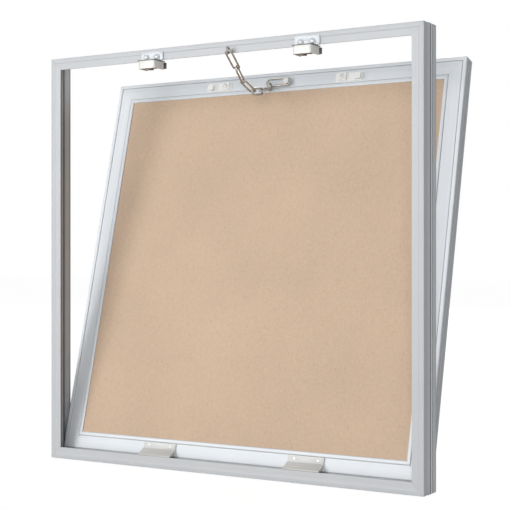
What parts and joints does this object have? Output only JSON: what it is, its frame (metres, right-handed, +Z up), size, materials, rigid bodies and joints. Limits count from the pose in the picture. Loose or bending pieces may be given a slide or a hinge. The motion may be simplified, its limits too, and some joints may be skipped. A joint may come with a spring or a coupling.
{
  "type": "push-open access panel",
  "caption": "Square access panel with a plasterboard leaf that tilts out at the top on loose hooks, is caught by a wire chain and shut by push-push jaw latches",
  "frame": {"origin": "middle of the frame's room-side plane", "axes": "X along the frame, Y from the cavity side to the room side, Z up; the leaf is stored open, tilted 14.6 degrees toward +Y"},
  "size_m": [0.4, 0.1365, 0.4],
  "materials": {
    "frame_aluminium": "satin, mill-finished extrusion",
    "leaf_aluminium": "satin, mill-finished extrusion",
    "hinge_aluminium": "satin extrusion",
    "cleat_aluminium": "rolled, plain",
    "seal_rubber": "matt foam gasket",
    "gypsum": "dry gypsum plaster, matt",
    "back_paper": "uncoated brownish liner paper, matt",
    "face_paper": "uncoated pale liner paper, matt",
    "rivet_aluminium": "drawn, plain",
    "keeper_plastic": "moulded, fine grain",
    "carriage_plastic": "moulded, matt brown",
    "jaw_steel": "dark, stamped",
    "latch_plated_steel": "white powder coat on folded sheet",
    "bright_steel": "zinc plated",
    "chain_steel": "zinc plated, drawn wire"
  },
  "bodies": {
    "frame": {"frame_rail_top": "frame_aluminium", "frame_rail_right": "frame_aluminium", "frame_rail_bottom": "frame_aluminium", "frame_rail_left": "frame_aluminium", "frame_corner_cleats": "cleat_aluminium", "frame_seal": "seal_rubber", "hinge_rest_rivets": "rivet_aluminium", "chain_eye": "chain_steel", "hinge_rest_left": "hinge_aluminium", "hinge_rest_right": "hinge_aluminium", "latch_pad_left": "latch_plated_steel", "latch_pad_right": "latch_plated_steel", "latch_bracket_left": "latch_plated_steel", "latch_bracket_right": "latch_plated_steel", "latch_rivets_left": "rivet_aluminium", "latch_rivets_right": "rivet_aluminium", "latch_housing_left": "latch_plated_steel", "latch_housing_right": "latch_plated_steel", "latch_spring_left": "bright_steel", "latch_spring_right": "bright_steel", "latch_jaw_pins_left": "bright_steel", "latch_jaw_pins_right": "bright_steel"},
    "leaf": {"leaf_rail_top": "leaf_aluminium", "leaf_rail_right": "leaf_aluminium", "leaf_rail_bottom": "leaf_aluminium", "leaf_rail_left": "leaf_aluminium", "leaf_corner_cleats": "cleat_aluminium", "board_back_paper": "back_paper", "gypsum_core": "gypsum", "board_face_paper": "face_paper", "hinge_hook_rivets": "rivet_aluminium", "keeper_screws": "bright_steel", "chain_end_link": "chain_steel", "chain_end_screw": "bright_steel", "hinge_hook_left": "hinge_aluminium", "hinge_hook_right": "hinge_aluminium", "keeper_left": "keeper_plastic", "keeper_right": "keeper_plastic"},
    "link_1": {"chain_link_1": "chain_steel"},
    "link_2": {"chain_link_2": "chain_steel"},
    "link_3": {"chain_link_3": "chain_steel"},
    "link_4": {"chain_link_4": "chain_steel"},
    "link_5": {"chain_link_5": "chain_steel"},
    "joining_ring": {"chain_joining_ring": "chain_steel"},
    "carriage_left": {"latch_carriage_left": "carriage_plastic"},
    "jaw_left_a": {"latch_left_jaw_a": "jaw_steel"},
    "jaw_left_b": {"latch_left_jaw_b": "jaw_steel"},
    "carriage_right": {"latch_carriage_right": "carriage_plastic"},
    "jaw_right_a": {"latch_right_jaw_a": "jaw_steel"},
    "jaw_right_b": {"latch_right_jaw_b": "jaw_steel"}
  },
  "joints": [
    {"name": "leaf_swing", "type": "hinge", "parent": "frame", "child": "leaf", "pos_m": [0, -0.00435, -0.197], "axis": [-1, 0, 0], "range_deg": [-14.81, 0], "deforming": ["frame_seal"]},
    {"name": "chain_link_1_turn", "type": "hinge", "parent": "frame", "child": "link_1", "pos_m": [0.0107, -0.034, 0.19], "axis": [1, 0, 0], "range_deg": [-100.99, 0]},
    {"name": "chain_link_2_turn", "type": "hinge", "parent": "link_1", "child": "link_2", "pos_m": [0.00773, -0.01215, 0.17651], "axis": [1, 0, 0], "range_deg": [0, 73.11]},
    {"name": "chain_joining_ring_turn", "type": "hinge", "parent": "leaf", "child": "joining_ring", "pos_m": [-0.0068, 0.07668, 0.17231], "axis": [1, 0, 0], "range_deg": [0, 2.26]},
    {"name": "chain_link_5_turn", "type": "hinge", "parent": "joining_ring", "child": "link_5", "pos_m": [-0.00641, 0.07398, 0.16996], "axis": [1, 0, 0], "range_deg": [0, 53.76]},
    {"name": "chain_link_4_turn", "type": "hinge", "parent": "link_5", "child": "link_4", "pos_m": [-0.0017, 0.05025, 0.16368], "axis": [1, 0, 0], "range_deg": [0, 1.43]},
    {"name": "chain_link_3_turn", "type": "hinge", "parent": "link_4", "child": "link_3", "pos_m": [0.00081, 0.02991, 0.16073], "axis": [1, 0, 0], "range_deg": [-116.14, 0]},
    {"name": "latch_left_carriage_slide", "type": "slide", "parent": "frame", "child": "carriage_left", "axis": [0, -1, 0], "range_m": [0, 0.0028], "stiffness_N_per_m": 100, "springref_m": -0.002, "deforming": ["latch_spring_left"]},
    {"name": "latch_left_jaw_a_turn", "type": "hinge", "parent": "frame", "child": "jaw_left_a", "pos_m": [-0.0833, -0.028, 0.18415], "axis": [0, 0, -1], "range_deg": [0, 20]},
    {"name": "latch_left_jaw_b_turn", "type": "hinge", "parent": "frame", "child": "jaw_left_b", "pos_m": [-0.0707, -0.028, 0.18415], "axis": [0, 0, 1], "range_deg": [0, 20]},
    {"name": "latch_right_carriage_slide", "type": "slide", "parent": "frame", "child": "carriage_right", "axis": [0, -1, 0], "range_m": [0, 0.0028], "stiffness_N_per_m": 100, "springref_m": -0.002, "deforming": ["latch_spring_right"]},
    {"name": "latch_right_jaw_a_turn", "type": "hinge", "parent": "frame", "child": "jaw_right_a", "pos_m": [0.0828, -0.028, 0.18415], "axis": [0, 0, -1], "range_deg": [0, 20]},
    {"name": "latch_right_jaw_b_turn", "type": "hinge", "parent": "frame", "child": "jaw_right_b", "pos_m": [0.0954, -0.028, 0.18415], "axis": [0, 0, 1], "range_deg": [0, 20]}
  ],
  "couplings": [
    {"joint": "chain_link_1_turn", "follows": "leaf_swing", "ratio": 6.8205},
    {"joint": "chain_link_2_turn", "follows": "leaf_swing", "ratio": -4.9376},
    {"joint": "chain_joining_ring_turn", "follows": "leaf_swing", "ratio": -0.15248},
    {"joint": "chain_link_5_turn", "follows": "leaf_swing", "ratio": -3.6309},
    {"joint": "chain_link_4_turn", "follows": "leaf_swing", "ratio": -0.09648},
    {"joint": "chain_link_3_turn", "follows": "leaf_swing", "ratio": 7.8437},
    {"joint": "latch_left_jaw_a_turn", "follows": "latch_left_carriage_slide", "rad_per_m": 124.67},
    {"joint": "latch_left_jaw_b_turn", "follows": "latch_left_carriage_slide", "rad_per_m": 124.67},
    {"joint": "latch_right_jaw_a_turn", "follows": "latch_right_carriage_slide", "rad_per_m": 124.67},
    {"joint": "latch_right_jaw_b_turn", "follows": "latch_right_carriage_slide", "rad_per_m": 124.67}
  ]
}
